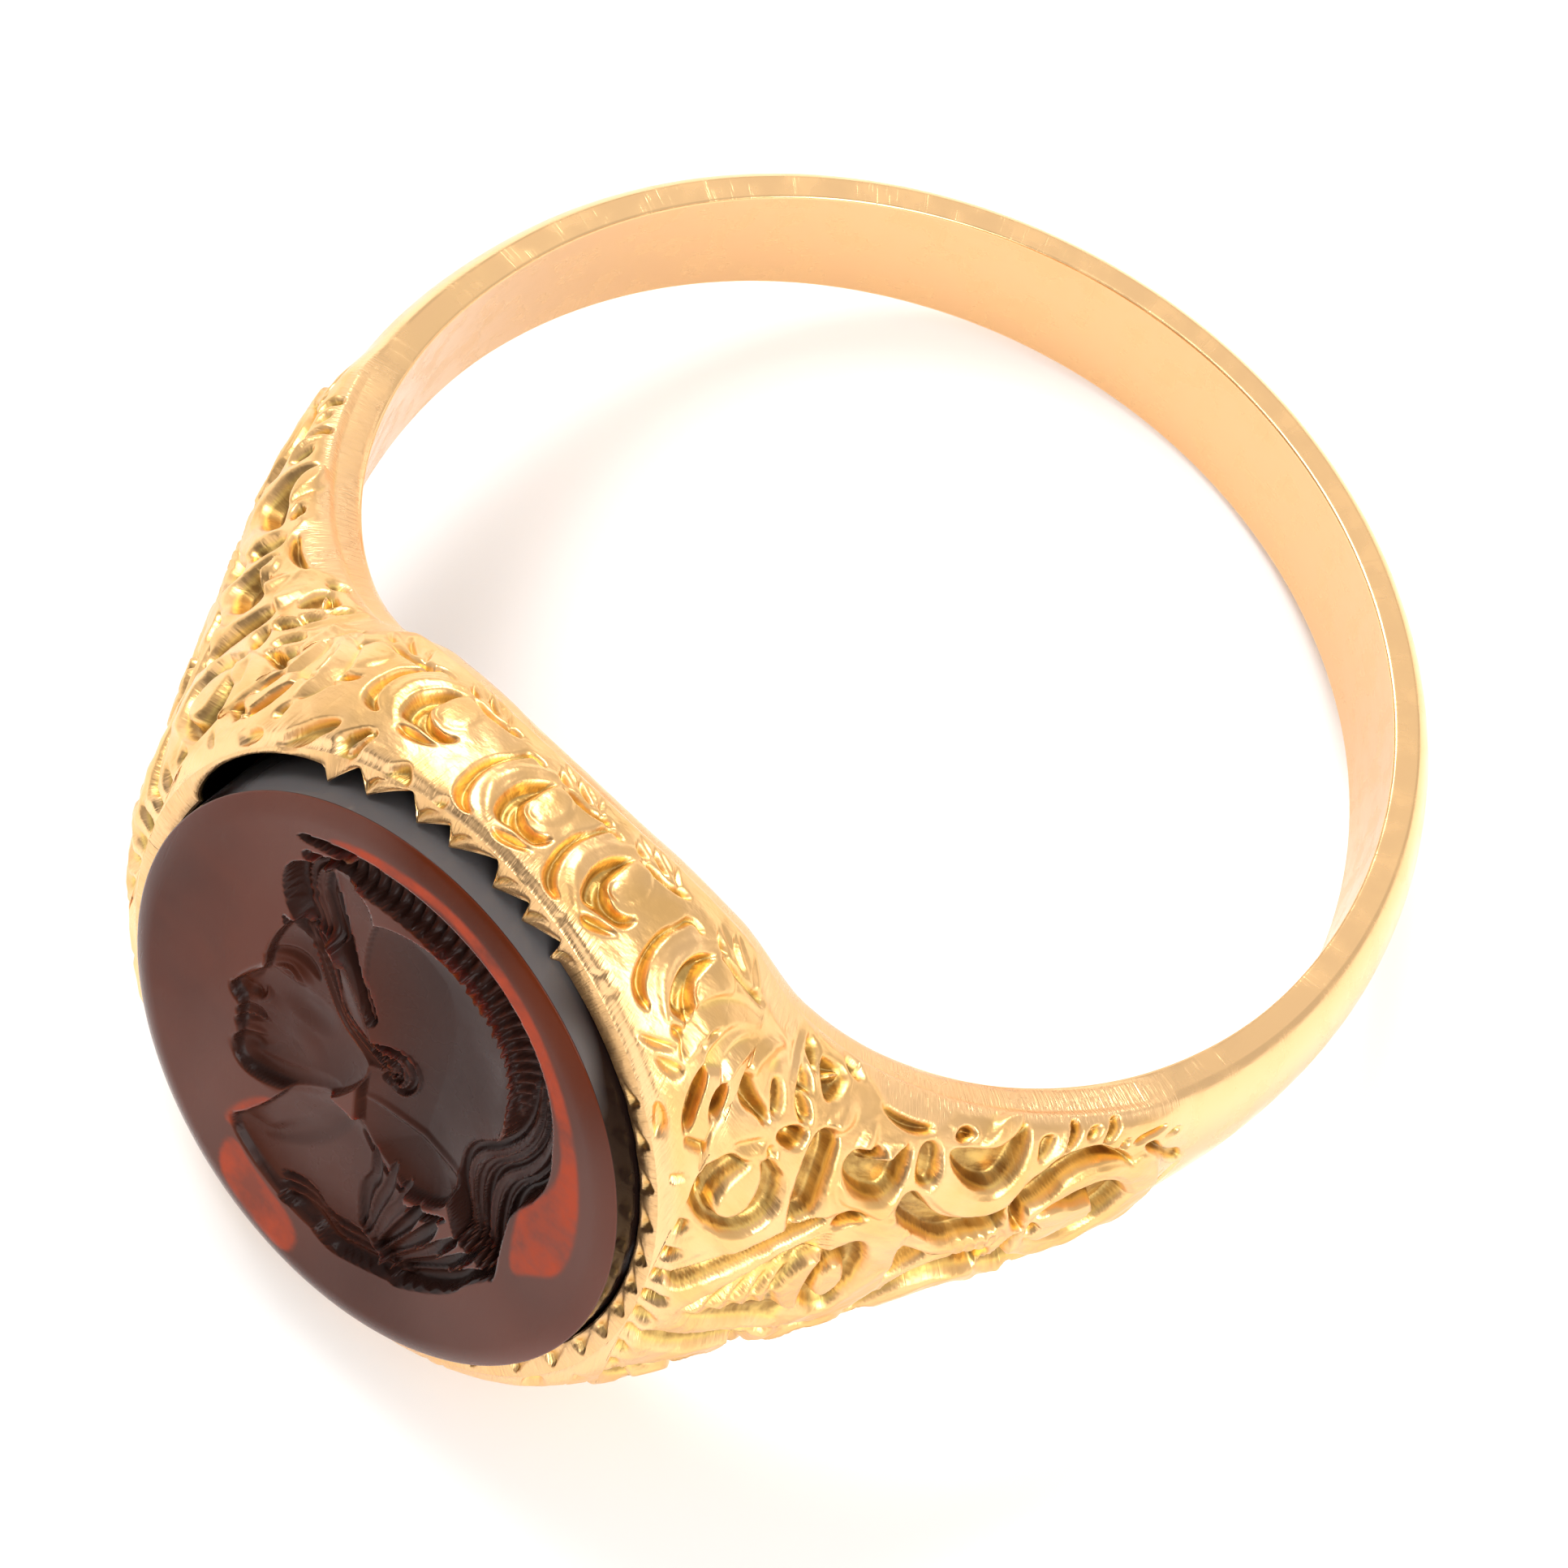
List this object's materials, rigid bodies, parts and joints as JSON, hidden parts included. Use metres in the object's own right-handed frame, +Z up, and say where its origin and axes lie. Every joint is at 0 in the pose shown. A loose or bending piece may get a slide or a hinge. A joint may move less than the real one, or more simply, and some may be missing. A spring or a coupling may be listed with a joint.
{
  "type": "intaglio signet ring",
  "caption": "Finger ring: a chased gold body swells into an oval head that holds an oval hardstone cut with a helmeted head in profile.",
  "frame": {"origin": "middle of the footprint, on the surface that the ring lies on", "axes": "+Z up, +Y from the stone towards the back of the shank, +X along the stone's breadth; the ring lies on its side and the stone faces -Y"},
  "size_m": [0.0198, 0.023, 0.0142],
  "materials": {
    "gold": "polished 18 carat yellow gold with chased relief",
    "hardstone": "polished dark red-brown sard, slightly translucent"
  },
  "bodies": {
    "root": {"ring_body": "gold", "intaglio_stone": "hardstone"}
  },
  "joints": []
}
